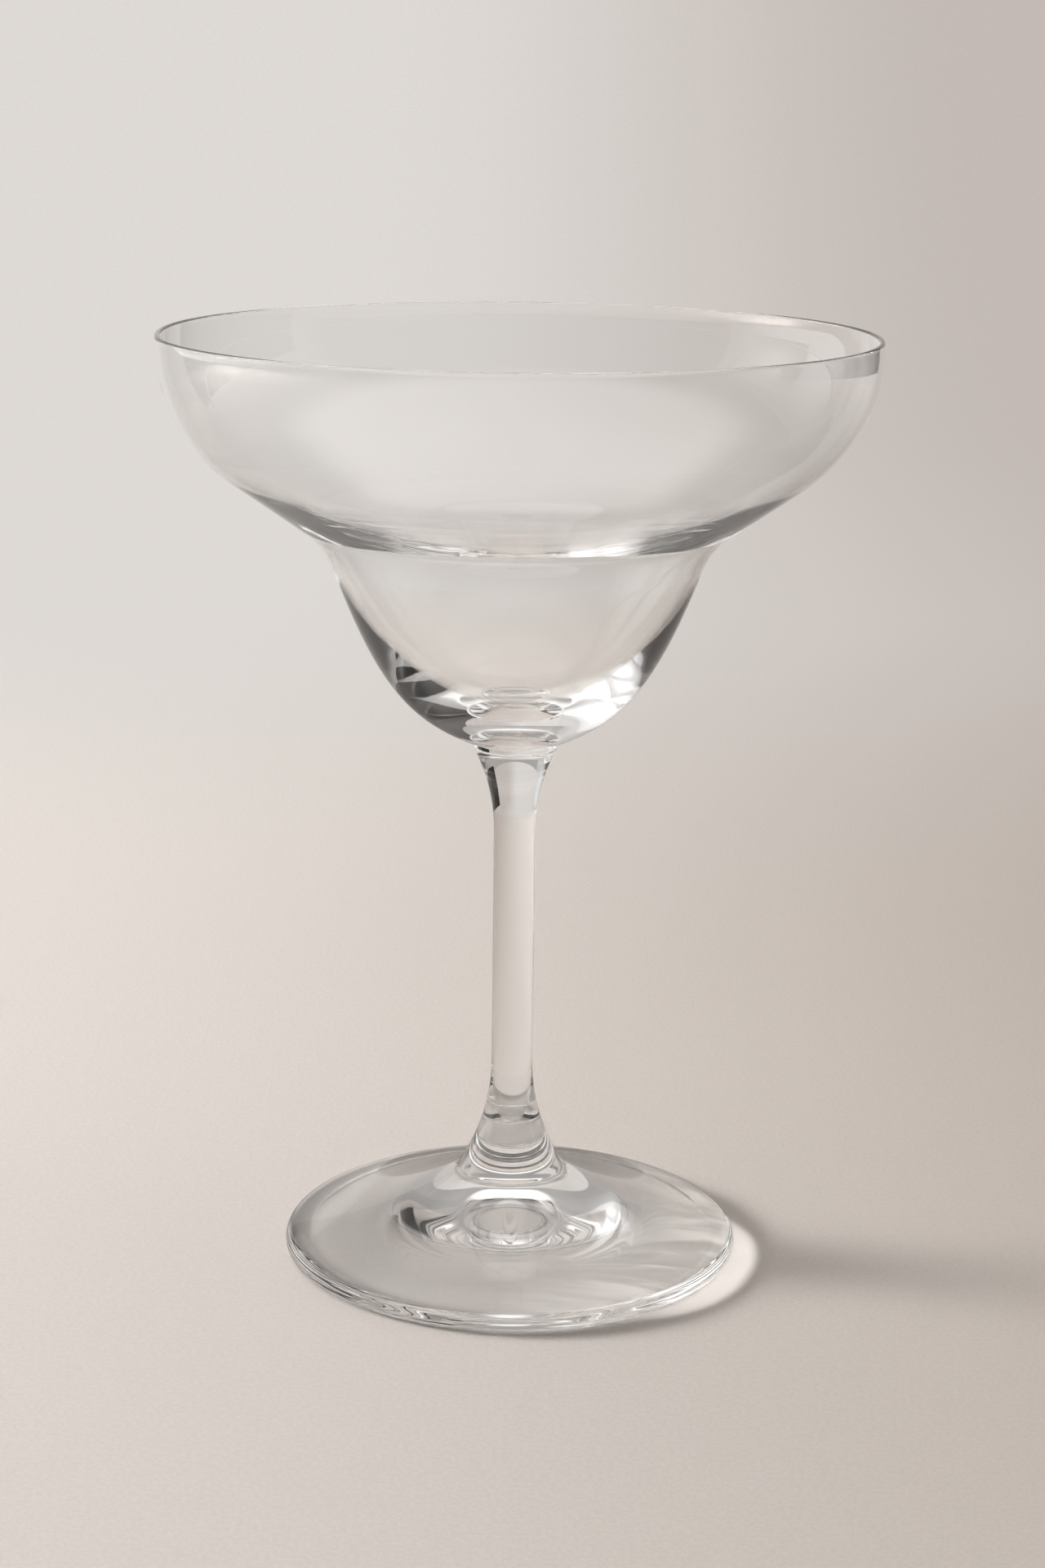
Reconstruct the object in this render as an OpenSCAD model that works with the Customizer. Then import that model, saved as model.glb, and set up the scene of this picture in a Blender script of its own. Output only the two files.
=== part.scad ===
// Margarita glass: a blown bowl, a drawn stem and a pressed foot, welded end to end while hot.
// The origin is the centre of the ring that the glass stands on, and +Z runs up its axis.
// Sizes are in millimetres and angles in degrees.

/* [Bowl] */
// Widest diameter of the saucer, just under the rim
bowl_d = 116; // [108:1:124]
// Height of the bowl, from its weld on the stem up to the rim
bowl_h = 67.9; // [64:0.1:74]
// Depth of the widest ring below the rim
lip_drop = 1.7; // [1.2:0.1:3.5]
// Thickness of the wall at the rim and along the saucer's curve
wall = 0.8; // [0.7:0.1:1.3]
// Radius of the saucer's outer curve
saucer_round = 25.8; // [22:0.1:28]
// Diameter of the circle that the shoulder's hollow curve turns about
shoulder_d = 86; // [82:0.5:92]
// Depth of that circle below the rim
shoulder_drop = 42.4; // [41:0.1:46]
// Radius of the shoulder's hollow curve, outside
shoulder_round = 13.7; // [10:0.1:15.5]
// Thickness of the wall at the shoulder
shoulder_wall = 1.5; // [1.3:0.1:2]
// Radius of the arc along which the inside flattens towards the shoulder
fall_round = 190; // [150:5:250]
// Lean of the well's side from upright
well_taper = 20.5; // [14:0.5:26]
// Reach of the well's side towards its base, outside
side_reach = 21.2; // [16:0.1:25]
// Reach of the base outwards from the collar
base_reach = 11.6; // [8:0.1:16]
// Slope of the base where it leaves the collar
base_slope = 22; // [10:1:32]
// Height of the collar between the weld and the base
collar_h = 0.8; // [0.4:0.1:2]
// Thickness of the glass under the inside floor
floor_t = 5.6; // [5:0.1:9]
// Reach of the well's side towards its floor, inside
inner_reach = 19; // [14:0.1:20]
// Reach of the inside floor outwards from the axis
floor_reach = 13; // [9:0.1:14]

/* [Stem] */
// Diameter of the plain part of the stem
stem_d = 6.9; // [5.5:0.1:9]
// Length of the stem between its two welds
stem_l = 64.3; // [45:0.1:90]
// Diameter of the weld under the bowl
neck_d = 13.9; // [11:0.1:17]
// Radius of the hollow curve under the bowl
neck_round = 30; // [15:0.5:40]

/* [Foot] */
// Diameter of the foot
foot_d = 77; // [68:0.5:86]
// Height of the foot, from the table up to its weld under the stem
foot_h = 23.3; // [20:0.1:26]
// Diameter of the weld on top of the foot
weld_d = 9.7; // [9:0.1:11]
// Radius of the hollow curve that spreads from the stem down the foot's cone
flare_round = 34.5; // [30:0.5:42]
// Radius of the hollow curve between the cone and the disc
fillet_round = 3; // [2:0.1:6]
// Radius of the hollow curve across the disc's top
disc_round = 100; // [90:1:120]
// Fall of the disc's top where it meets the edge
disc_fall = 12; // [10:0.5:14]
// Thickness of the disc at its rounded edge
edge_h = 3.3; // [2.4:0.1:4.2]
// Width of the flat ring that the glass stands on
rest_w = 3; // [1.5:0.1:6]
// Rise of the hollow underside at its middle, without the dimple there
kick_h = 5; // [3:0.1:6]
// Diameter of the dimple at the middle of the underside
dimple_d = 32; // [26:0.5:38]
// Rise of the dimple above the hollow underside
dimple_h = 2; // [1:0.1:3]
// Reach of the dimple's side inwards from its edge
dimple_reach = 8; // [5:0.1:9]
// Reach of the dimple's top outwards from the axis
crown_reach = 5; // [3:0.1:7]

/* [Hidden] */
glass_tint = [0.92, 0.94, 0.94, 0.45];
turn_fn = 180;
arc_step = 3;
curve_steps = 24;

stem_r = stem_d / 2;
neck_r = neck_d / 2;
weld_r = weld_d / 2;
foot_r = foot_d / 2;
bowl_z = foot_h + stem_l;
rim_z = bowl_z + bowl_h;

// Heights over which the stem's hollow curves open from its plain part to each weld
neck_rise = spread_height(neck_round, neck_r - stem_r);
flare_rise = spread_height(flare_round, weld_r - stem_r);
flare_centre = [stem_r + flare_round, foot_h + flare_rise];
flare_weld_angle = 180 + asin(flare_rise / flare_round);

// Height over which an arc of a given radius, upright at its start, spreads sideways by a given width
function spread_height(radius, width) = sqrt(pow(radius, 2) - pow(radius - width, 2));

// Unit vector at an angle, in the half-plane of radius and height
function heading(angle) = [cos(angle), sin(angle)];

// Angle of a vector that points downwards, between 180 and 360
function turn(vector) = 360 + atan2(vector[1], vector[0]);

// Point at given distances from two others, to the left of the line that joins them
function meet(first, first_reach, second, second_reach) =
    let (
        line = second - first,
        along = (line * line + pow(first_reach, 2) - pow(second_reach, 2)) / (2 * norm(line)),
        aside = sqrt(pow(first_reach, 2) - pow(along, 2)),
        unit = line / norm(line))
    first + along * unit + aside * [-unit[1], unit[0]];

// Points of an arc about a centre, from one angle to another
function arc(centre, radius, from, to) =
    let (steps = max(1, ceil(abs(to - from) / arc_step)))
    [for (i = [0 : steps]) centre + radius * heading(from + (to - from) * i / steps)];

// Points of the smooth curve that leaves a towards b and arrives at d from c, without its first point
function curve(a, b, c, d) =
    [for (i = [1 : curve_steps])
        let (t = i / curve_steps, s = 1 - t)
        pow(s, 3) * a + 3 * pow(s, 2) * t * b + 3 * s * pow(t, 2) * c + pow(t, 3) * d];

// Outside, a straight fall joins the saucer's curve to the shoulder's
saucer_centre = [bowl_d / 2 - saucer_round, rim_z - lip_drop];
shoulder_centre = [shoulder_d / 2, rim_z - shoulder_drop];
fall_line = shoulder_centre - saucer_centre;
fall_angle = turn(fall_line) - 360 + acos((saucer_round + shoulder_round) / norm(fall_line));
lip_angle = asin((lip_drop - wall / 2) / (saucer_round - wall / 2));

function outer_side() = concat(
    arc(saucer_centre, saucer_round, lip_angle, fall_angle),
    arc(shoulder_centre, -shoulder_round, fall_angle, -well_taper));

// Inside, the fall is an arc that touches both curves, so the wall thickens towards the shoulder
inner_saucer = saucer_round - wall;
inner_shoulder = shoulder_round + shoulder_wall;
fall_centre = meet(shoulder_centre, fall_round + inner_shoulder, saucer_centre, fall_round - inner_saucer);
fall_top = turn(saucer_centre - fall_centre) - 360;
fall_foot = turn(shoulder_centre - fall_centre) - 360;

function inner_side() = concat(
    arc(saucer_centre, inner_saucer, lip_angle, fall_top),
    arc(fall_centre, fall_round, fall_top, fall_foot),
    arc(shoulder_centre, -inner_shoulder, fall_foot, -well_taper));

// The outside runs on from the shoulder to the collar, and the inside to the floor on the axis
well_down = heading(-well_taper - 90);
collar_top = [neck_r, bowl_z + collar_h];
floor_mid = [0, bowl_z + floor_t];

function last(points) = points[len(points) - 1];

function backwards(points) = [for (i = [len(points) - 1 : -1 : 0]) points[i]];

function bowl_outside() =
    let (upper = outer_side())
    concat(upper, curve(last(upper), last(upper) + side_reach * well_down,
        collar_top + base_reach * heading(base_slope), collar_top));

function bowl_inside() =
    let (upper = inner_side())
    concat(upper, curve(last(upper), last(upper) + inner_reach * well_down,
        floor_mid + [floor_reach, 0], floor_mid));

lip_centre = saucer_centre + (saucer_round - wall / 2) * heading(lip_angle);

// Bowl: saucer, shoulder and well in one wall with a fire-polished lip, on a heavy base
module bowl() {
    color(glass_tint)
        rotate_extrude($fn = turn_fn)
            polygon(concat(
                bowl_outside(),
                [[neck_r, bowl_z], [0, bowl_z]],
                backwards(bowl_inside()),
                arc(lip_centre, wall / 2, lip_angle + 180 - arc_step, lip_angle + arc_step)));
}

// Stem: a solid rod that opens to the bowl's weld above and to the foot's weld below
module stem() {
    color(glass_tint)
        rotate_extrude($fn = turn_fn)
            polygon(concat(
                [[0, foot_h]],
                backwards(arc(flare_centre, flare_round, 180, flare_weld_angle)),
                arc([stem_r + neck_round, bowl_z - neck_rise], neck_round,
                    180, 180 - asin(neck_rise / neck_round)),
                [[0, bowl_z]]));
}

edge_r = edge_h / 2;
edge_centre = [foot_r - edge_r, edge_r];
rest_r = foot_r - edge_r - rest_w;
kick_round = (pow(rest_r, 2) + pow(kick_h, 2)) / (2 * kick_h);

// The fillet at the cone's root lies against the cone's flare and against the disc's hollow top
disc_centre = edge_centre + (edge_r + disc_round) * heading(90 - disc_fall);
root_centre = meet(flare_centre, flare_round - fillet_round, disc_centre, disc_round - fillet_round);
flare_root_angle = turn(root_centre - flare_centre);
disc_root_angle = turn(root_centre - disc_centre);

// The dimple leaves the underside's arc at its brim and rises to its crown on the axis
kick_centre = [0, kick_h - kick_round];
brim_angle = acos(dimple_d / 2 / kick_round);
brim = kick_centre + kick_round * heading(brim_angle);
crown = [0, kick_h + dimple_h];

// Foot: a disc that slopes up to a cone, with a rounded edge and a dimpled, hollow underside
module foot() {
    color(glass_tint)
        rotate_extrude($fn = turn_fn)
            polygon(concat(
                [[0, foot_h]],
                arc(flare_centre, flare_round, flare_weld_angle, flare_root_angle),
                arc(root_centre, fillet_round, flare_root_angle, disc_root_angle),
                arc(disc_centre, disc_round, disc_root_angle, 270 - disc_fall),
                arc(edge_centre, edge_r, 90 - disc_fall, -90),
                arc(kick_centre, kick_round, acos(rest_r / kick_round), brim_angle),
                curve(brim, brim + dimple_reach * heading(brim_angle + 90),
                    crown + [crown_reach, 0], crown)));
}

bowl();
stem();
foot();
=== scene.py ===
"""A margarita glass in clear glass: blown bowl, drawn stem and pressed foot, on a pale studio sweep.

Every piece is a profile in the half-plane of radius and height, carried round the glass's axis.
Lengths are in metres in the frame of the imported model, and angles are in degrees.
"""

import logging
import math
from dataclasses import dataclass
from enum import Enum, IntEnum

import bpy
import numpy as np
from mathutils import Matrix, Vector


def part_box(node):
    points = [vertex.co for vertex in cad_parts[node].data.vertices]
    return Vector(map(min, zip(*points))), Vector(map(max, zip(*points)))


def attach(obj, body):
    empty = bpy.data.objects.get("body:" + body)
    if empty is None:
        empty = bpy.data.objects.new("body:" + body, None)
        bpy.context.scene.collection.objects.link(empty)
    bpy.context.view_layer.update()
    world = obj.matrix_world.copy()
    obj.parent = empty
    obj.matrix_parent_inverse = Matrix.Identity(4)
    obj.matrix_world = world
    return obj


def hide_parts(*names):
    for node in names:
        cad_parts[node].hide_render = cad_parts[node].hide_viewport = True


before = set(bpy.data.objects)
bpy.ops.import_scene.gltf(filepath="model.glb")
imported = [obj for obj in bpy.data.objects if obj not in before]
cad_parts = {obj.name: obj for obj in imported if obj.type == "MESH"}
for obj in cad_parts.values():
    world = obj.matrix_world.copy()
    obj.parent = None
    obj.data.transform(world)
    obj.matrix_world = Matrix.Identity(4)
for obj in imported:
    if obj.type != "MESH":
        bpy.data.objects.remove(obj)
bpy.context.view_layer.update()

LOG = logging.getLogger("margarita_glass")
MM = 0.001
BODY = "root"
TURN_SEGMENTS = 256
ARC_PITCH = 0.45 * MM
ARC_TURN = 9.0
CURVE_STEPS = 64
SEAM_STEPS = 10
SAME_POINT = 0.0001 * MM
SHARP_ANGLE = 40.0
HALF = 0.5
LIGHT_BOUNCES = 256
CLEAR_BOUNCES = 24
BLACK = (0.0, 0.0, 0.0, 1.0)

Socket = bpy.types.NodeSocket
Tree = bpy.types.NodeTree
Rgba = tuple[float, float, float, float]
Colour = Rgba | Socket


class Skin(IntEnum):
    """Which face of a piece a band of its mesh belongs to; the value is its material slot."""

    POLISHED = 0
    WELD = 1


class Fit(Enum):
    """Which side of the photograph's frame the lens covers with its sensor."""

    TALL = "VERTICAL"


def heading(angle: float) -> np.ndarray:
    """Unit vector at an angle in the half-plane of radius and height.

    Args:
        angle: Degrees from the outward radius, turning up.

    Returns:
        The vector as (radius, height).
    """
    return np.array([math.cos(math.radians(angle)), math.sin(math.radians(angle))])


def arc(centre: np.ndarray, radius: float, start: float, stop: float) -> np.ndarray:
    """Points of an arc: the centre plus the radius times the heading of evenly spread angles.

    Args:
        centre: Centre as (radius, height).
        radius: Signed radius; a negative one draws the hollow side.
        start: First angle in degrees.
        stop: Last angle in degrees.

    Returns:
        An array of (radius, height) rows, at most ARC_PITCH and ARC_TURN apart.
    """
    turn = abs(stop - start)
    length = abs(radius) * math.radians(turn)
    steps = math.ceil(max(length / ARC_PITCH, turn / ARC_TURN))
    angles = np.radians(np.linspace(start, stop, steps + 1))
    return np.asarray(centre) + radius * np.stack([np.cos(angles), np.sin(angles)], axis=1)


def curve(
    a: np.ndarray, b: np.ndarray, c: np.ndarray, d: np.ndarray, steps: int = CURVE_STEPS
) -> np.ndarray:
    """Points of the cubic curve that leaves a towards b and arrives at d from c.

    Args:
        a: First point.
        b: First control point.
        c: Second control point.
        d: Last point.
        steps: Number of steps along the curve.

    Returns:
        An array of rows, the four points weighted by the cubic Bernstein terms.
    """
    t = np.linspace(0.0, 1.0, steps + 1)[:, None]
    s = 1.0 - t
    return s**3 * a + 3 * s**2 * t * b + 3 * s * t**2 * c + t**3 * d


def spread_height(radius: float, width: float) -> float:
    """Height over which an arc, upright at its start, spreads sideways by a width.

    Args:
        radius: The arc's radius.
        width: The sideways spread.

    Returns:
        The height, a leg of the right triangle whose other sides are radius and radius - width.
    """
    return math.sqrt(radius**2 - (radius - width) ** 2)


def meet(first: np.ndarray, first_reach: float, second: np.ndarray, second_reach: float) -> np.ndarray:
    """Point at given distances from two others, to the left of the line that joins them.

    Args:
        first: First point.
        first_reach: Distance from the first point.
        second: Second point.
        second_reach: Distance from the second point.

    Returns:
        The point, where the two circles cross.
    """
    line = second - first
    reach = math.hypot(*line)
    along = (reach**2 + first_reach**2 - second_reach**2) / (2 * reach)
    aside = math.sqrt(first_reach**2 - along**2)
    unit = line / reach
    return first + along * unit + aside * np.array([-unit[1], unit[0]])


def bearing(vector: np.ndarray) -> float:
    """Angle of a vector in degrees, from 0 up to 360."""
    return math.degrees(math.atan2(vector[1], vector[0])) % 360.0


def seam(corner: np.ndarray, side: np.ndarray, depth: float) -> np.ndarray:
    """Rounded edge between the side of a piece and its flat weld face.

    Args:
        corner: Where the side would meet the face.
        side: Unit vector from the corner along the side.
        depth: How far the round reaches along the side and along the face.

    Returns:
        Rows of (radius, height) from the side to the face.
    """
    start = corner + depth * side
    stop = corner - np.array([depth, 0.0])
    return curve(start, (start + corner) / 2, (stop + corner) / 2, stop, SEAM_STEPS)


def join(*runs: np.ndarray) -> np.ndarray:
    """Strings runs of profile points together and drops points that repeat the one before.

    Args:
        runs: Arrays or lists of (radius, height) rows.

    Returns:
        One array of rows.
    """
    points = np.concatenate([np.atleast_2d(np.asarray(run, float)) for run in runs])
    step = np.hypot(*np.diff(points, axis=0).T)
    return points[np.concatenate([[True], step > SAME_POINT])]


def revolve(name: str, profile: np.ndarray, welds: list[int]) -> bpy.types.Object:
    """Carries a profile round the axis: x = r cos t, y = r sin t, z = h, closed by a fan at each pole.

    The profile runs from the axis at the bottom, up the outside and back to the axis, so that
    its faces point outwards.

    Args:
        name: Name of the piece.
        profile: Rows of (radius, height), the first and last on the axis.
        welds: Numbers of the stretches between two rows that are weld faces.

    Returns:
        The new object, at the origin.
    """
    turn = np.linspace(0.0, 2 * math.pi, TURN_SEGMENTS, endpoint=False)
    rings = profile[1:-1]
    grid = np.empty((len(rings), TURN_SEGMENTS, 3))
    grid[..., 0] = rings[:, :1] * np.cos(turn)
    grid[..., 1] = rings[:, :1] * np.sin(turn)
    grid[..., 2] = rings[:, 1:]
    poles = np.array([[0.0, 0.0, profile[0, 1]], [0.0, 0.0, profile[-1, 1]]])
    points = np.concatenate([grid.reshape(-1, 3), poles])
    count = len(rings) * TURN_SEGMENTS

    here = np.arange(TURN_SEGMENTS)
    beside = np.roll(here, -1)
    row = np.arange(len(rings) - 1)[:, None] * TURN_SEGMENTS
    above = row + TURN_SEGMENTS
    quads = np.stack([row + here, row + beside, above + beside, above + here], axis=2)
    top = count - TURN_SEGMENTS
    first = np.stack([np.full_like(here, count), beside, here], axis=1)
    last = np.stack([top + here, top + beside, np.full_like(here, count + 1)], axis=1)
    loops = np.concatenate([first.ravel(), quads.ravel(), last.ravel()])
    fan = np.full(TURN_SEGMENTS, 3)
    sides = np.concatenate([fan, np.full(quads.size // 4, 4), fan])
    starts = np.concatenate([[0], np.cumsum(sides)[:-1]])
    skins = np.full(len(profile) - 1, Skin.POLISHED)
    skins[welds] = Skin.WELD

    mesh = bpy.data.meshes.new(name)
    mesh.vertices.add(len(points))
    mesh.vertices.foreach_set("co", points.ravel())
    mesh.loops.add(len(loops))
    mesh.loops.foreach_set("vertex_index", loops.astype(np.int32))
    mesh.polygons.add(len(sides))
    mesh.polygons.foreach_set("loop_start", starts.astype(np.int32))
    mesh.polygons.foreach_set("material_index", np.repeat(skins, TURN_SEGMENTS).astype(np.int32))
    mesh.update(calc_edges=True)
    mesh.validate()
    mesh.shade_smooth()
    mesh.set_sharp_from_angle(angle=math.radians(SHARP_ANGLE))
    piece = bpy.data.objects.new(name, mesh)
    bpy.context.collection.objects.link(piece)
    return piece


def new_material(name: str) -> tuple[bpy.types.Material, Tree]:
    """Makes a material with nodes.

    Args:
        name: Name of the material.

    Returns:
        The material and its node tree.
    """
    material = bpy.data.materials.new(name)
    material.use_nodes = True
    return material, material.node_tree


def show(tree: Tree, shader: Socket) -> None:
    """Links a shader's output to the surface of the tree's material."""
    tree.links.new(shader, tree.nodes["Material Output"].inputs["Surface"])


def feed(tree: Tree, value: Socket | float | Rgba, target: Socket) -> None:
    """Links an output to an input, or sets the input where the value is a plain one.

    Args:
        tree: The node tree to add to.
        value: An output, a number or a colour.
        target: The input.
    """
    if isinstance(value, Socket):
        tree.links.new(value, target)
    else:
        target.default_value = value


def own_place(tree: Tree) -> Socket:
    """Adds the place in the object's own frame and returns its output."""
    return tree.nodes.new("ShaderNodeTexCoord").outputs["Object"]


def axes(tree: Tree, vector: Socket) -> tuple[Socket, Socket, Socket]:
    """Adds a split of a vector.

    Args:
        tree: The node tree to add to.
        vector: What is split.

    Returns:
        The outputs of X, Y and Z.
    """
    split = tree.nodes.new("ShaderNodeSeparateXYZ")
    tree.links.new(vector, split.inputs["Vector"])
    return split.outputs["X"], split.outputs["Y"], split.outputs["Z"]


def add_noise(tree: Tree, place: Socket, scale: float, detail: float, distortion: float = 0.0) -> Socket:
    """Adds noise between 0 and 1.

    Args:
        tree: The node tree to add to.
        place: Where the noise is read.
        scale: Number of its waves in a metre of place.
        detail: Number of finer layers.
        distortion: How far the waves are twisted.

    Returns:
        The noise's output.
    """
    noise = tree.nodes.new("ShaderNodeTexNoise")
    noise.inputs["Scale"].default_value = scale
    noise.inputs["Detail"].default_value = detail
    noise.inputs["Distortion"].default_value = distortion
    tree.links.new(place, noise.inputs["Vector"])
    return noise.outputs["Fac"]


def between(tree: Tree, share: Socket, low: Socket | float, high: Socket | float) -> Socket:
    """Adds an even run between two levels: low + share * (high - low), with the share held within 0 and 1.

    Args:
        tree: The node tree to add to.
        share: How far along the run.
        low: The level at a share of 0.
        high: The level at a share of 1.

    Returns:
        The level's output.
    """
    run = tree.nodes.new("ShaderNodeMapRange")
    tree.links.new(share, run.inputs["Value"])
    feed(tree, low, run.inputs["To Min"])
    feed(tree, high, run.inputs["To Max"])
    return run.outputs["Result"]


def smooth_step(tree: Tree, value: Socket, start: float, stop: float) -> Socket:
    """Adds a smooth ramp from 0 to 1.

    Args:
        tree: The node tree to add to.
        value: What the ramp follows.
        start: The value at which the ramp leaves 0.
        stop: The value at which it reaches 1.

    Returns:
        The ramp's output.
    """
    ramp = tree.nodes.new("ShaderNodeMapRange")
    ramp.interpolation_type = "SMOOTHSTEP"
    ramp.inputs["From Min"].default_value = start
    ramp.inputs["From Max"].default_value = stop
    tree.links.new(value, ramp.inputs["Value"])
    return ramp.outputs["Result"]


def combine(tree: Tree, operation: str, first: Socket, second: Socket | float) -> Socket:
    """Adds one step of arithmetic.

    Args:
        tree: The node tree to add to.
        operation: Name of the operation.
        first: The first value.
        second: The second value, as an output or a number.

    Returns:
        The result's output.
    """
    node = tree.nodes.new("ShaderNodeMath")
    node.operation = operation
    tree.links.new(first, node.inputs[0])
    feed(tree, second, node.inputs[1])
    return node.outputs["Value"]


def blend_colours(tree: Tree, share: Socket, first: Colour, second: Colour) -> Socket:
    """Adds a mix of two colours.

    Args:
        tree: The node tree to add to.
        share: How much of the second colour shows.
        first: The colour at a share of 0.
        second: The colour at a share of 1.

    Returns:
        The mixed colour's output.
    """
    node = tree.nodes.new("ShaderNodeMix")
    node.data_type = "RGBA"
    tree.links.new(share, node.inputs["Factor"])
    colours = [socket for socket in node.inputs if socket.type == "RGBA"]
    for socket, colour in zip(colours, (first, second)):
        feed(tree, colour, socket)
    return next(socket for socket in node.outputs if socket.type == "RGBA")


def seen_directly(tree: Tree) -> Socket:
    """Adds the test for a ray that the camera sees by, straight or through the glass.

    Args:
        tree: The node tree to add to.

    Returns:
        1 for a camera, glossy or transmission ray that has met no matt surface, or else 0.
    """
    path = tree.nodes.new("ShaderNodeLightPath")
    clear = combine(tree, "MAXIMUM", path.outputs["Is Glossy Ray"], path.outputs["Is Transmission Ray"])
    clear = combine(tree, "MAXIMUM", clear, path.outputs["Is Camera Ray"])
    return combine(tree, "MULTIPLY", clear, combine(tree, "LESS_THAN", path.outputs["Diffuse Depth"], HALF))


@dataclass(frozen=True)
class WipeHaze:
    """Trace of wiping on fire-polished glass, as a node group that all three finishes share."""

    clean: float = 0.0
    smeared: float = 0.05
    scale: float = 38.0
    detail: float = 5.0
    distortion: float = 1.2
    onset: tuple[float, float] = (0.56, 0.74)

    def make(self) -> Tree:
        """Builds the group, with one output for the roughness, and returns it."""
        tree = bpy.data.node_groups.new("wipe_haze", "ShaderNodeTree")
        tree.interface.new_socket("Roughness", in_out="OUTPUT", socket_type="NodeSocketFloat")
        smear = add_noise(tree, own_place(tree), self.scale, self.detail, self.distortion)
        level = between(tree, smooth_step(tree, smear, *self.onset), self.clean, self.smeared)
        out = tree.nodes.new("NodeGroupOutput")
        tree.links.new(level, out.inputs["Roughness"])
        return tree


@dataclass(frozen=True)
class ClearGlass:
    """Clear glass with the faint ripples of the way it was worked and a trace of wiping."""

    name: str
    grain: tuple[float, float, float]
    ripple: float
    detail: float = 2.0
    tint: Rgba = (0.992, 0.994, 0.992, 1.0)
    ior: float = 1.51

    def make(self, haze: Tree) -> bpy.types.Material:
        """Builds the material and returns it.

        Args:
            haze: The shared node group for the roughness.

        Returns:
            The material. Its ripples are noise, drawn out by the grain along X, Y and Z.
        """
        material, tree = new_material(self.name)
        shader = tree.nodes["Principled BSDF"]
        shader.inputs["Base Color"].default_value = self.tint
        shader.inputs["IOR"].default_value = self.ior
        shader.inputs["Transmission Weight"].default_value = 1.0
        wiped = tree.nodes.new("ShaderNodeGroup")
        wiped.node_tree = haze
        tree.links.new(wiped.outputs["Roughness"], shader.inputs["Roughness"])
        stretch = tree.nodes.new("ShaderNodeVectorMath")
        stretch.operation = "MULTIPLY"
        stretch.inputs[1].default_value = self.grain
        tree.links.new(own_place(tree), stretch.inputs[0])
        noise = add_noise(tree, stretch.outputs["Vector"], 1.0, self.detail)
        bump = tree.nodes.new("ShaderNodeBump")
        bump.inputs["Distance"].default_value = self.ripple
        tree.links.new(noise, bump.inputs["Height"])
        tree.links.new(bump.outputs["Normal"], shader.inputs["Normal"])
        return material


PRESSED = ClearGlass("pressed_glass", grain=(85.0, 85.0, 85.0), ripple=0.010 * MM)
DRAWN = ClearGlass("drawn_glass", grain=(240.0, 240.0, 9.0), ripple=0.006 * MM)
BLOWN = ClearGlass("blown_glass", grain=(14.0, 14.0, 170.0), ripple=0.010 * MM)


@dataclass(frozen=True)
class FusedGlass:
    """The face inside a hot weld: the glass has run together, so light passes straight through."""

    name: str = "fused_weld"

    def make(self) -> bpy.types.Material:
        """Builds the material and returns it."""
        material, tree = new_material(self.name)
        tree.nodes.remove(tree.nodes["Principled BSDF"])
        show(tree, tree.nodes.new("ShaderNodeBsdfTransparent").outputs["BSDF"])
        return material


def dress(
    piece: bpy.types.Object, node: str, polished: bpy.types.Material, weld: bpy.types.Material
) -> None:
    """Gives a piece its finishes, in the order of Skin, hangs it on the body, hides the node that it
    replaces and logs its faces.

    Args:
        piece: The piece to dress.
        node: Name of the node that the piece replaces.
        polished: Finish of its outer face.
        weld: Finish of its weld faces.
    """
    piece.data.materials.append(polished)
    piece.data.materials.append(weld)
    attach(piece, BODY)
    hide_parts(node)
    LOG.info("%s: %d faces", piece.name, len(piece.data.polygons))


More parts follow.
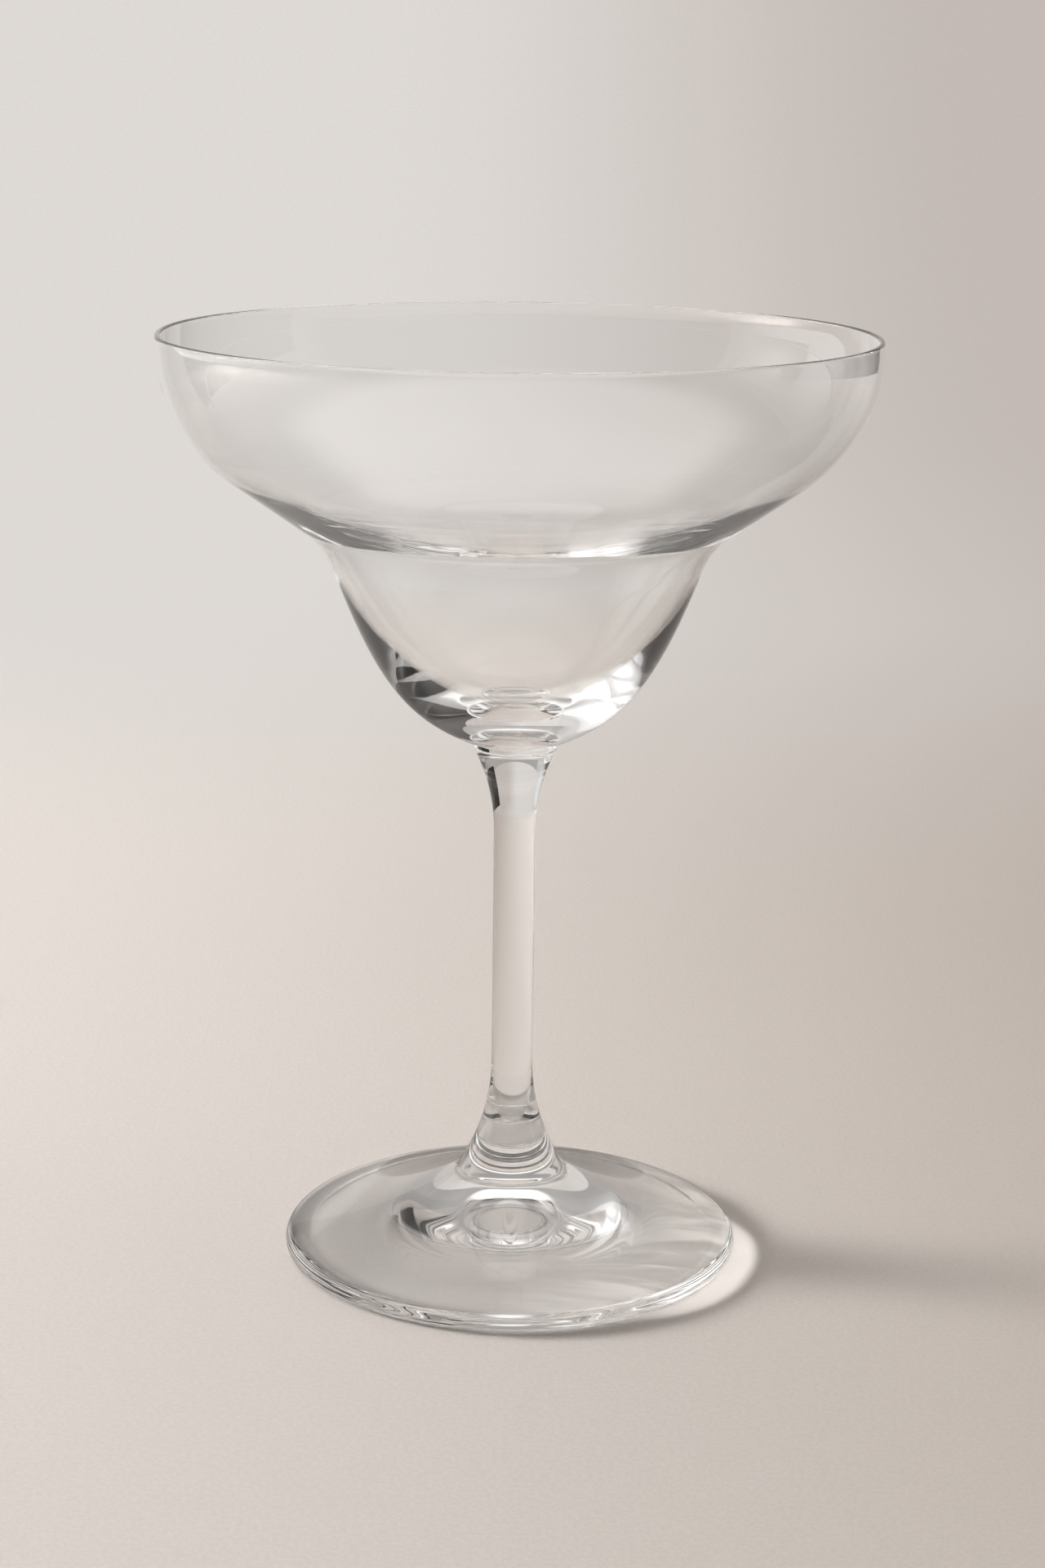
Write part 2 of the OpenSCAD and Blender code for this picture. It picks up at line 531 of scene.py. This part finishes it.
@dataclass
class Foot:
    """Pressed foot: a disc that slopes up to a cone, with a rounded edge and a hollow underside."""

    radius: float
    height: float
    stem_radius: float = 3.45 * MM
    weld_radius: float = 4.85 * MM
    flare_round: float = 34.5 * MM
    fillet_round: float = 3.0 * MM
    disc_fall: float = 12.0
    disc_round: float = 100.0 * MM
    edge_height: float = 3.3 * MM
    rest_width: float = 3.0 * MM
    kick_height: float = 5.0 * MM
    dimple_radius: float = 16.0 * MM
    dimple_height: float = 2.0 * MM
    dimple_reach: float = 8.0 * MM
    crown_reach: float = 5.0 * MM
    seam_depth: float = 0.2 * MM

    def flare_centre(self) -> np.ndarray:
        """Centre of the hollow curve that the stem and the cone share, as (radius, height)."""
        rise = spread_height(self.flare_round, self.weld_radius - self.stem_radius)
        return np.array([self.stem_radius + self.flare_round, self.height + rise])

    def flare_angle(self) -> float:
        """Angle of the weld on the hollow curve, in degrees."""
        centre = self.flare_centre()
        return 180.0 + math.degrees(math.asin((centre[1] - self.height) / self.flare_round))

    def weld_corner(self) -> np.ndarray:
        """Where the cone's side meets the weld's plane, as (radius, height)."""
        return np.array([self.weld_radius, self.height])

    def weld_side(self) -> np.ndarray:
        """Unit vector down the cone's side at the weld."""
        return heading(self.flare_angle() + 90.0)

    def seam_angle(self) -> float:
        """Turn of the cone's side over the depth of the seam, in degrees."""
        return math.degrees(self.seam_depth / self.flare_round)

    def profile(self) -> np.ndarray:
        """Outline from the hollow underside round the edge and up the cone to the weld.

        Returns:
            Rows of (radius, height): a smooth curve for the dimple, an arc for the underside, a round
            for the edge, and three hollow arcs that touch: the disc's top, the fillet and the cone.
        """
        edge_r = self.edge_height / 2
        edge = np.array([self.radius - edge_r, edge_r])
        rest_r = edge[0] - self.rest_width
        kick_round = (rest_r**2 + self.kick_height**2) / (2 * self.kick_height)
        kick_centre = np.array([0.0, self.kick_height - kick_round])
        flare = self.flare_centre()
        disc = edge + (edge_r + self.disc_round) * heading(90.0 - self.disc_fall)
        root = meet(flare, self.flare_round - self.fillet_round, disc, self.disc_round - self.fillet_round)
        root_angle = bearing(root - flare)
        disc_angle = bearing(root - disc)
        kick_angle = math.degrees(math.acos(rest_r / kick_round))
        dimple_angle = math.degrees(math.acos(self.dimple_radius / kick_round))
        brim = kick_centre + kick_round * heading(dimple_angle)
        crown = np.array([0.0, self.kick_height + self.dimple_height])
        return join(
            curve(
                crown,
                crown + np.array([self.crown_reach, 0.0]),
                brim + self.dimple_reach * heading(dimple_angle + 90.0),
                brim,
            ),
            arc(kick_centre, kick_round, dimple_angle, kick_angle),
            arc(edge, edge_r, -90.0, 90.0 - self.disc_fall),
            arc(disc, self.disc_round, 270.0 - self.disc_fall, disc_angle),
            arc(root, self.fillet_round, disc_angle, root_angle),
            arc(flare, self.flare_round, root_angle, self.flare_angle() + self.seam_angle()),
            seam(self.weld_corner(), self.weld_side(), self.seam_depth),
            [[0.0, self.height]],
        )

    def build(self) -> bpy.types.Object:
        """Builds the foot with its weld face on top and returns it."""
        return revolve("glass_foot", self.profile(), [-1])


@dataclass
class Stem:
    """Drawn stem: a solid rod that opens to the bowl's weld above and to the foot's weld below."""

    foot: Foot
    top: float
    neck_radius: float
    neck_round: float = 30.0 * MM
    seam_depth: float = 0.35 * MM

    def profile(self) -> np.ndarray:
        """Outline from the lower weld up to the upper one.

        Returns:
            Rows of (radius, height): the flare that the foot's cone carries on, and the neck's hollow arc.
        """
        radius = self.foot.stem_radius
        rise = spread_height(self.neck_round, self.neck_radius - radius)
        neck = np.array([radius + self.neck_round, self.top - rise])
        turn = math.degrees(math.asin(rise / self.neck_round))
        foot = self.foot
        seam_turn = math.degrees(self.seam_depth / self.neck_round)
        return join(
            [[0.0, foot.height]],
            seam(foot.weld_corner(), -foot.weld_side(), foot.seam_depth)[::-1],
            arc(foot.flare_centre(), foot.flare_round, foot.flare_angle() - foot.seam_angle(), 180.0),
            arc(neck, self.neck_round, 180.0, 180.0 - turn + seam_turn),
            seam(np.array([self.neck_radius, self.top]), heading(270.0 - turn), self.seam_depth),
            [[0.0, self.top]],
        )

    def build(self) -> bpy.types.Object:
        """Builds the stem with a weld face at each end and returns it."""
        return revolve("glass_stem", self.profile(), [0, -1])


@dataclass
class Bowl:
    """Blown bowl: saucer, shoulder and well in one wall with a fire-polished lip, on a heavy base."""

    weld_z: float
    rim_z: float
    radius: float
    neck_radius: float = 6.95 * MM
    lip_drop: float = 1.7 * MM
    wall: float = 0.8 * MM
    shoulder_wall: float = 1.5 * MM
    fall_round: float = 190.0 * MM
    saucer_round: float = 25.8 * MM
    shoulder_radius: float = 43.0 * MM
    shoulder_drop: float = 42.4 * MM
    shoulder_round: float = 13.7 * MM
    well_taper: float = 20.5
    side_reach: float = 21.2 * MM
    base_reach: float = 11.6 * MM
    base_slope: float = 22.0
    collar_height: float = 0.8 * MM
    floor_thickness: float = 5.6 * MM
    inner_reach: float = 19.0 * MM
    floor_reach: float = 13.0 * MM
    seam_depth: float = 0.35 * MM

    def lip_angle(self) -> float:
        """Angle of the lip on the saucer's curve, in degrees."""
        half = self.wall / 2
        return math.degrees(math.asin((self.lip_drop - half) / (self.saucer_round - half)))

    def saucer_centre(self) -> np.ndarray:
        """Centre of the saucer's curve, as (radius, height)."""
        return np.array([self.radius - self.saucer_round, self.rim_z - self.lip_drop])

    def shoulder_centre(self) -> np.ndarray:
        """Centre of the shoulder's hollow curve, as (radius, height)."""
        return np.array([self.shoulder_radius, self.rim_z - self.shoulder_drop])

    def outer_side(self) -> np.ndarray:
        """The saucer's arc, the straight fall and the shoulder's hollow arc, outside.

        Returns:
            Rows of (radius, height) from the lip down to the top of the well.
        """
        saucer, shoulder = self.saucer_centre(), self.shoulder_centre()
        fall = shoulder - saucer
        lean = math.acos((self.saucer_round + self.shoulder_round) / math.hypot(*fall))
        angle = bearing(fall) - 360.0 + math.degrees(lean)
        return join(
            arc(saucer, self.saucer_round, self.lip_angle(), angle),
            arc(shoulder, -self.shoulder_round, angle, -self.well_taper),
        )

    def inner_side(self) -> np.ndarray:
        """The same run inside, where the fall flattens along an arc and the wall thickens to the shoulder.

        Returns:
            Rows of (radius, height) from the lip down to the top of the well.
        """
        saucer, shoulder = self.saucer_centre(), self.shoulder_centre()
        saucer_r = self.saucer_round - self.wall
        shoulder_r = self.shoulder_round + self.shoulder_wall
        fall = meet(shoulder, self.fall_round + shoulder_r, saucer, self.fall_round - saucer_r)
        top = bearing(saucer - fall) - 360.0
        foot = bearing(shoulder - fall) - 360.0
        return join(
            arc(saucer, saucer_r, self.lip_angle(), top),
            arc(fall, self.fall_round, top, foot),
            arc(shoulder, -shoulder_r, foot, -self.well_taper),
        )

    def profile(self) -> np.ndarray:
        """Outline from the weld up the outside, over the lip and down the inside to the floor.

        Returns:
            Rows of (radius, height): the saucer's arcs and one smooth curve each for the well's
            outside and inside, joined by a half round at the lip.
        """
        down = heading(-self.well_taper - 90.0)
        collar = np.array([self.neck_radius, self.weld_z + self.collar_height])
        floor = np.array([0.0, self.weld_z + self.floor_thickness])
        outer = self.outer_side()
        inner = self.inner_side()
        base = collar + self.base_reach * heading(self.base_slope)
        outside = join(outer, curve(outer[-1], outer[-1] + self.side_reach * down, base, collar))
        edge = floor + np.array([self.floor_reach, 0.0])
        inside = join(inner, curve(inner[-1], inner[-1] + self.inner_reach * down, edge, floor))
        lip = self.saucer_centre() + (self.saucer_round - self.wall / 2) * heading(self.lip_angle())
        return join(
            [[0.0, self.weld_z]],
            seam(np.array([self.neck_radius, self.weld_z]), heading(90.0), self.seam_depth)[::-1],
            outside[::-1],
            arc(lip, self.wall / 2, self.lip_angle(), self.lip_angle() + 180.0),
            inside,
        )

    def build(self) -> bpy.types.Object:
        """Builds the bowl with its weld face underneath and returns it."""
        return revolve("glass_bowl", self.profile(), [0])


def make_stage(
    name: str, points: np.ndarray, faces: np.ndarray, material: bpy.types.Material
) -> bpy.types.Object:
    """Makes one piece of the studio.

    Args:
        name: Name of the piece.
        points: Rows of (x, y, z).
        faces: Rows of four point numbers.
        material: What it is made of.

    Returns:
        The new object, at the origin.
    """
    mesh = bpy.data.meshes.new(name)
    mesh.from_pydata(points, [], faces)
    mesh.shade_smooth()
    mesh.materials.append(material)
    piece = bpy.data.objects.new(name, mesh)
    bpy.context.collection.objects.link(piece)
    return piece


@dataclass(frozen=True)
class Caustic:
    """Painted light on the floor where the foot would gather it: a streaked wash under its disc and a
    crescent beside it, laid on the paper as a glow.

    A ring of painted shade, which darkens the paper, lies under the foot's edge on the other side.
    """

    radius: float
    azimuth: float = 108.0
    reach: float = 5.2 * MM
    lobe: tuple[float, float] = (0.68, 1.0)
    soft: float = 2.6 * MM
    inset: float = 3.0 * MM
    # The crescent, the level under the disc and the wash are painted light that glows on the paper.
    crescent: float = 0.64
    under: float = 0.10
    wash: float = 0.62
    wash_from: tuple[float, float] = (0.05, 1.0)
    # Painted contact shade: how far the ring under the foot's edge darkens the paper, where the ring lies
    # and where it fades.
    contact_shade: float = 0.6
    contact_shade_ring: tuple[float, float] = (7.0 * MM, 2.0 * MM)
    contact_shade_to: tuple[float, float] = (-0.2, 0.5)
    streak: tuple[float, float] = (190.0, 28.0)
    streak_detail: float = 3.0
    streak_twist: float = 1.4
    streak_from: tuple[float, float] = (0.38, 0.68)
    streak_least: float = 0.3

    def streaks(self, tree: Tree, ahead: Socket, aside: Socket) -> Socket:
        """Adds noise that streaks the painted light, drawn out along the light's direction.

        Args:
            tree: The node tree to add to.
            ahead: Place along the light's direction.
            aside: Place across it.

        Returns:
            The streaks' level, between the least and 1.
        """
        place = tree.nodes.new("ShaderNodeCombineXYZ")
        wide, long = self.streak
        tree.links.new(combine(tree, "MULTIPLY", aside, wide), place.inputs["X"])
        tree.links.new(combine(tree, "MULTIPLY", ahead, long), place.inputs["Y"])
        noise = add_noise(tree, place.outputs["Vector"], 1.0, self.streak_detail, self.streak_twist)
        return between(tree, smooth_step(tree, noise, *self.streak_from), self.streak_least, 1.0)

    def levels(self, tree: Tree, x: Socket, y: Socket) -> tuple[Socket, Socket]:
        """Adds the nodes that give the painted light and the painted shade at a place on the floor.

        Args:
            tree: The node tree to add to.
            x: Place along X.
            y: Place along Y.

        Returns:
            The painted light's level: the crescent lies between the foot's edge and that edge plus a reach
            that falls off with the angle from the azimuth, and the wash grows across the disc. Then the
            share
            of painted shade: a ring under the foot's edge, on the side that the painted light doesn't
                reach.
        """
        turn = math.radians(self.azimuth)
        sine, cosine = math.sin(turn), math.cos(turn)
        ahead = combine(tree, "MULTIPLY", x, sine)
        ahead = combine(tree, "ADD", ahead, combine(tree, "MULTIPLY", y, cosine))
        aside = combine(tree, "MULTIPLY", x, cosine)
        aside = combine(tree, "SUBTRACT", aside, combine(tree, "MULTIPLY", y, sine))
        squares = combine(tree, "ADD", combine(tree, "MULTIPLY", x, x), combine(tree, "MULTIPLY", y, y))
        away = combine(tree, "SQRT", squares, 0.0)
        lobe = smooth_step(tree, combine(tree, "DIVIDE", ahead, away), *self.lobe)
        limit = combine(tree, "ADD", combine(tree, "MULTIPLY", lobe, self.reach), self.radius)
        outside = smooth_step(tree, combine(tree, "SUBTRACT", limit, away), 0.0, self.soft)
        inside = smooth_step(tree, away, self.radius - self.inset, self.radius)
        crescent = combine(tree, "MULTIPLY", combine(tree, "MULTIPLY", outside, inside), lobe)
        start, stop = (share * self.radius for share in self.wash_from)
        spread = combine(tree, "MULTIPLY", smooth_step(tree, ahead, start, stop), self.wash)
        spread = combine(tree, "MULTIPLY", spread, self.streaks(tree, ahead, aside))
        spread = combine(tree, "ADD", spread, self.under)
        disc = smooth_step(tree, away, self.radius, self.radius - self.inset)
        total = combine(tree, "MULTIPLY", crescent, self.crescent)
        total = combine(tree, "ADD", total, combine(tree, "MULTIPLY", spread, disc))
        outer, inner = (self.radius - depth for depth in self.contact_shade_ring)
        ring = smooth_step(tree, away, outer, inner)
        ring = combine(tree, "MULTIPLY", ring, smooth_step(tree, away, self.radius, inner))
        start, stop = (share * self.radius for share in self.contact_shade_to)
        shade = combine(tree, "MULTIPLY", ring, smooth_step(tree, ahead, stop, start))
        return total, combine(tree, "MULTIPLY", shade, self.contact_shade)


@dataclass
class Sweep:
    """Pale seamless sweep: floor, a round rise behind the glass and an upright back."""

    caustic: Caustic
    half_width: float = 2.5
    front: float = -2.5
    rise_from: float = 1.0
    rise_round: float = 0.5
    rise_steps: int = 40
    top: float = 0.55
    clearance: float = 0.05 * MM
    # The near and far colours run from lighter on the left, towards the windows, to darker on the right:
    # painted light.
    near_grade: tuple[float, float] = (-0.10, 0.20)
    near_left: Rgba = (0.89, 0.835, 0.785, 1.0)
    near_right: Rgba = (0.71, 0.637, 0.578, 1.0)
    far_from: tuple[float, float] = (0.12, 0.60)
    far_grade: tuple[float, float] = (-0.10, 0.28)
    far_left: Rgba = (0.745, 0.71, 0.68, 1.0)
    far_right: Rgba = (0.56, 0.505, 0.474, 1.0)
    # Share of its colour that the paper keeps where the glass mirrors it: painted shade in the reflections.
    mirrored: float = 0.4
    roughness: float = 0.9
    sheen: float = 0.1
    grain: float = 1300.0
    grain_detail: float = 3.0
    grain_depth: float = 0.045
    grain_from: tuple[float, float] = (0.36, 0.64)

    def graded(
        self, tree: Tree, across: Socket, grade: tuple[float, float], left: Colour, right: Colour,
        grain: Socket,
    ) -> Socket:
        """Adds a colour that runs from left to right, a painted fall of light from the lighter left to the
        darker right, and is flecked by the paper's grain.

        Args:
            tree: The node tree to add to.
            across: Place along X.
            grade: Where the run starts and stops.
            left: Colour at its start.
            right: Colour at its stop.
            grain: Share by which the grain darkens the colour.

        Returns:
            The colour's output.
        """
        colour = blend_colours(tree, smooth_step(tree, across, *grade), left, right)
        return blend_colours(tree, grain, colour, BLACK)

    def paper(self) -> bpy.types.Material:
        """Builds the paper: graded from lighter on the left to darker on the right as painted light, and
        glowing pale by itself far behind the glass.

        Returns:
            The material. Near the glass it is lit and takes the shadow, carries the foot's painted light
            and painted shade, and is darker where the glass mirrors it, as painted shade in the
            reflections; far behind, what the camera and the glass see of it fades into a pale glow with the
            same painted grade from left to right.
        """
        material, tree = new_material("sweep_paper")
        shader = tree.nodes["Principled BSDF"]
        shader.inputs["Roughness"].default_value = self.roughness
        shader.inputs["Specular IOR Level"].default_value = self.sheen
        place = own_place(tree)
        across, back, _ = axes(tree, place)
        fibres = add_noise(tree, place, self.grain, self.grain_detail)
        grain = smooth_step(tree, fibres, *self.grain_from)
        grain = combine(tree, "MULTIPLY", grain, self.grain_depth)
        # Painted light: the near colour is lighter on the left and darker on the right.
        near = self.graded(tree, across, self.near_grade, self.near_left, self.near_right, grain)
        # Painted shade in the reflections: the glass mirrors the paper darker.
        path = tree.nodes.new("ShaderNodeLightPath")
        dim = combine(tree, "MULTIPLY", path.outputs["Is Reflection Ray"], path.outputs["Is Glossy Ray"])
        dim = combine(tree, "MULTIPLY", dim, 1.0 - self.mirrored)
        # The foot's painted light glows in the paper and its painted shade darkens the paper's colour.
        painted_light, shade = self.caustic.levels(tree, across, back)
        near = blend_colours(tree, combine(tree, "MAXIMUM", dim, shade), near, BLACK)
        tree.links.new(near, shader.inputs["Base Color"])
        shader.inputs["Emission Color"].default_value = self.near_left
        tree.links.new(painted_light, shader.inputs["Emission Strength"])
        # Painted light: the far glow is likewise lighter on the left and darker on the right.
        far = self.graded(tree, across, self.far_grade, self.far_left, self.far_right, grain)
        glow = tree.nodes.new("ShaderNodeEmission")
        tree.links.new(far, glow.inputs["Color"])
        share = combine(tree, "MULTIPLY", seen_directly(tree), smooth_step(tree, back, *self.far_from))
        mix = tree.nodes.new("ShaderNodeMixShader")
        tree.links.new(share, mix.inputs["Fac"])
        tree.links.new(shader.outputs["BSDF"], mix.inputs[1])
        tree.links.new(glow.outputs["Emission"], mix.inputs[2])
        show(tree, mix.outputs["Shader"])
        return material

    def build(self) -> bpy.types.Object:
        """Builds the sweep as a profile of depth and height carried across the view, and returns it."""
        bend = np.radians(np.linspace(-90.0, 0.0, self.rise_steps))
        centre = np.array([self.rise_from, self.rise_round])
        rise = centre + self.rise_round * np.stack([np.cos(bend), np.sin(bend)], axis=1)
        line = np.concatenate([[[self.front, 0.0]], rise, [[self.rise_from + self.rise_round, self.top]]])
        across = np.array([-self.half_width, self.half_width])
        grid = np.empty((len(line), 2, 3))
        grid[..., 0] = across
        grid[..., 1] = line[:, :1]
        grid[..., 2] = line[:, 1:] - self.clearance
        row = np.arange(len(line) - 1)[:, None] * 2
        faces = row + np.array([0, 1, 3, 2])
        return make_stage("studio_sweep", grid.reshape(-1, 3), faces, self.paper())


@dataclass
class Card:
    """A sheet that faces the glass from one side of the studio."""

    name: str
    azimuth: float
    elevation: float
    distance: float
    width: float
    height: float

    def corners(self) -> np.ndarray:
        """Corners of the sheet, anticlockwise as the glass sees it; azimuth runs from +Y towards +X."""
        turn = math.radians(self.azimuth)
        tilt = math.radians(self.elevation)
        level = np.array([math.sin(turn), math.cos(turn), 0.0])
        upright = np.array([0.0, 0.0, 1.0])
        centre = self.distance * (math.cos(tilt) * level + math.sin(tilt) * upright)
        across = self.width / 2 * np.array([math.cos(turn), -math.sin(turn), 0.0])
        rise = self.height / 2 * (math.cos(tilt) * upright - math.sin(tilt) * level)
        return centre + np.array([-across - rise, across - rise, across + rise, rise - across])


@dataclass
class Window(Card):
    """A soft window: a glowing sheet whose light fades towards its edges.

    Seen through the glass or mirrored in it, it has levels of its own, as film with a long shoulder
    shows a bright window. The steps of a ray beyond its passes through glass are its mirrorings.
    """

    light: float
    seen: float
    mirrored: float
    edge: float
    fade: float
    colour: Rgba = (1.0, 0.985, 0.97, 1.0)

    def build(self) -> bpy.types.Object:
        """Builds the window, its fade taken from its own map of width and height, and returns it."""
        material, tree = new_material(self.name)
        tree.nodes.remove(tree.nodes["Principled BSDF"])
        x, y, _ = axes(tree, tree.nodes.new("ShaderNodeUVMap").outputs["UV"])
        across = smooth_step(tree, combine(tree, "PINGPONG", x, HALF), 0.0, self.fade)
        upright = smooth_step(tree, combine(tree, "PINGPONG", y, HALF), 0.0, self.fade)
        core = combine(tree, "MULTIPLY", across, upright)
        path = tree.nodes.new("ShaderNodeLightPath")
        turned = combine(tree, "SUBTRACT", path.outputs["Ray Depth"], path.outputs["Transmission Depth"])
        view = between(tree, combine(tree, "MINIMUM", turned, 1.0), self.seen, self.mirrored)
        peak = between(tree, seen_directly(tree), self.light, view)
        glow = tree.nodes.new("ShaderNodeEmission")
        glow.inputs["Color"].default_value = self.colour
        tree.links.new(between(tree, core, self.edge, peak), glow.inputs["Strength"])
        show(tree, glow.outputs["Emission"])
        window = make_stage(self.name, self.corners(), np.array([[0, 1, 2, 3]]), material)
        layer = window.data.uv_layers.new(name="window")
        layer.data.foreach_set("uv", np.array([0, 0, 1, 0, 1, 1, 0, 1], float))
        return window


@dataclass
class Flag(Card):
    """A black card that gives the clear glass its dark lines, as in a product studio."""

    colour: Rgba = (0.006, 0.006, 0.006, 1.0)
    roughness: float = 0.95

    def build(self) -> bpy.types.Object:
        """Builds the card and returns it."""
        material, tree = new_material("black_card")
        shader = tree.nodes["Principled BSDF"]
        shader.inputs["Base Color"].default_value = self.colour
        shader.inputs["Roughness"].default_value = self.roughness
        shader.inputs["Specular IOR Level"].default_value = 0.0
        return make_stage(self.name, self.corners(), np.array([[0, 1, 2, 3]]), material)


@dataclass
class PhotoCamera:
    """The photograph's viewpoint: a short telephoto a little above the rim, looking down at the glass."""

    distance: float = 472.5 * MM
    height: float = 200.9 * MM
    pitch: float = 14.21
    roll: float = 0.67
    yaw: float = -0.151
    image_height_px: float = 1920.0
    focal_px: float = 3600.0
    sensor: float = 36.0
    nearest: float = 0.01
    farthest: float = 20.0
    fit: Fit = Fit.TALL

    def place(self) -> bpy.types.Object:
        """Makes the scene's camera and returns it."""
        lens = bpy.data.cameras.new("photo_camera")
        lens.sensor_fit = self.fit.value
        lens.sensor_height = self.sensor
        lens.lens = self.focal_px / self.image_height_px * self.sensor
        lens.clip_start = self.nearest
        lens.clip_end = self.farthest
        camera = bpy.data.objects.new("photo_camera", lens)
        camera.matrix_world = (
            Matrix.Translation((0.0, -self.distance, self.height))
            @ Matrix.Rotation(math.radians(self.yaw), 4, "Z")
            @ Matrix.Rotation(math.radians(90.0 - self.pitch), 4, "X")
            @ Matrix.Rotation(math.radians(self.roll), 4, "Z")
        )
        bpy.context.collection.objects.link(camera)
        bpy.context.scene.camera = camera
        return camera


@dataclass
class Room:
    """The room round the studio: darker behind the camera, with a pale ceiling that only the glass shows, a
    painted reflection that lights nothing.
    """

    front: float = 0.55
    front_seen: float = 0.38
    back: float = 0.06
    fade: tuple[float, float] = (-0.4, -0.1)
    ceiling: float = 1.3
    ceiling_from: tuple[float, float] = (0.6, 0.8)
    backdrop: float = 0.62
    colour: Rgba = (1.0, 0.96, 0.93, 1.0)

    def build(self) -> None:
        """Makes the world: a smooth ramp along +Y with the ceiling, and an even backdrop for the camera."""
        world = bpy.data.worlds.new("soft_room")
        world.use_nodes = True
        tree = world.node_tree
        _, along, up = axes(tree, tree.nodes.new("ShaderNodeTexCoord").outputs["Generated"])
        seen = seen_directly(tree)
        ahead = between(tree, seen, self.front, self.front_seen)
        level = between(tree, smooth_step(tree, along, *self.fade), self.back, ahead)
        # Painted reflection: the pale ceiling shows only to rays that the camera sees by, and lights
        # nothing.
        overhead = combine(tree, "MULTIPLY", smooth_step(tree, up, *self.ceiling_from), seen)
        whole = between(tree, overhead, level, self.ceiling)
        path = tree.nodes.new("ShaderNodeLightPath")
        shown = between(tree, path.outputs["Is Camera Ray"], whole, self.backdrop)
        room = tree.nodes["Background"]
        room.inputs["Color"].default_value = self.colour
        tree.links.new(shown, room.inputs["Strength"])
        bpy.context.scene.world = world


@dataclass
class Studio:
    """Window wall, key light and black card about the glass."""

    wall_seen: float = 0.92
    wall_mirrored: float = 1.7
    wall_light: float = 1.0
    wall_azimuth: float = -66.0
    wall_distance: float = 1.65
    wall_width: float = 2.5
    wall_height: float = 2.5
    wall_edge: float = 0.55
    wall_fade: float = 0.35
    key_light: float = 66.0
    key_azimuth: float = -80.0
    key_elevation: float = 20.0
    key_distance: float = 1.55
    key_width: float = 0.8
    key_height: float = 0.72
    key_fade: float = 0.5
    flag_azimuth: float = 62.0
    flag_distance: float = 0.95
    flag_width: float = 1.23
    flag_height: float = 0.9

    def build(self) -> None:
        """Builds the window wall, the key light and the card."""
        Window("studio_wall", self.wall_azimuth, 0.0, self.wall_distance, self.wall_width, self.wall_height,
               light=self.wall_light, seen=self.wall_seen, mirrored=self.wall_mirrored, edge=self.wall_edge,
               fade=self.wall_fade).build()
        Window("studio_key", self.key_azimuth, self.key_elevation, self.key_distance, self.key_width,
               self.key_height, light=self.key_light, seen=self.wall_seen, mirrored=self.wall_mirrored,
               edge=self.wall_seen, fade=self.key_fade).build()
        Flag("studio_flag", self.flag_azimuth, 0.0, self.flag_distance, self.flag_width,
             self.flag_height).build()


def light_studio() -> None:
    """Builds the studio and the room, and sets the view and how far light is followed."""
    Studio().build()
    Room().build()
    scene = bpy.context.scene
    scene.view_settings.view_transform = "Standard"
    scene.cycles.max_bounces = LIGHT_BOUNCES
    scene.cycles.transmission_bounces = LIGHT_BOUNCES
    scene.cycles.glossy_bounces = LIGHT_BOUNCES
    scene.cycles.transparent_max_bounces = CLEAR_BOUNCES
    scene.cycles.sample_clamp_indirect = 0.0


def main() -> None:
    """Builds the camera, the glass and its studio, in that order."""
    logging.basicConfig(level=logging.INFO, format="%(name)s: %(message)s")
    PhotoCamera().place()
    foot_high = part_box("foot")[1]
    bowl_low, bowl_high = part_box("bowl")
    foot = Foot(radius=foot_high[0], height=foot_high[2])
    bowl = Bowl(weld_z=bowl_low[2], rim_z=bowl_high[2], radius=bowl_high[0])
    stem = Stem(foot=foot, top=bowl.weld_z, neck_radius=bowl.neck_radius)
    weld = FusedGlass().make()
    haze = WipeHaze().make()
    dress(foot.build(), "foot", PRESSED.make(haze), weld)
    dress(stem.build(), "stem", DRAWN.make(haze), weld)
    dress(bowl.build(), "bowl", BLOWN.make(haze), weld)
    Sweep(Caustic(foot.radius)).build()
    light_studio()


if __name__ == "__main__":
    main()
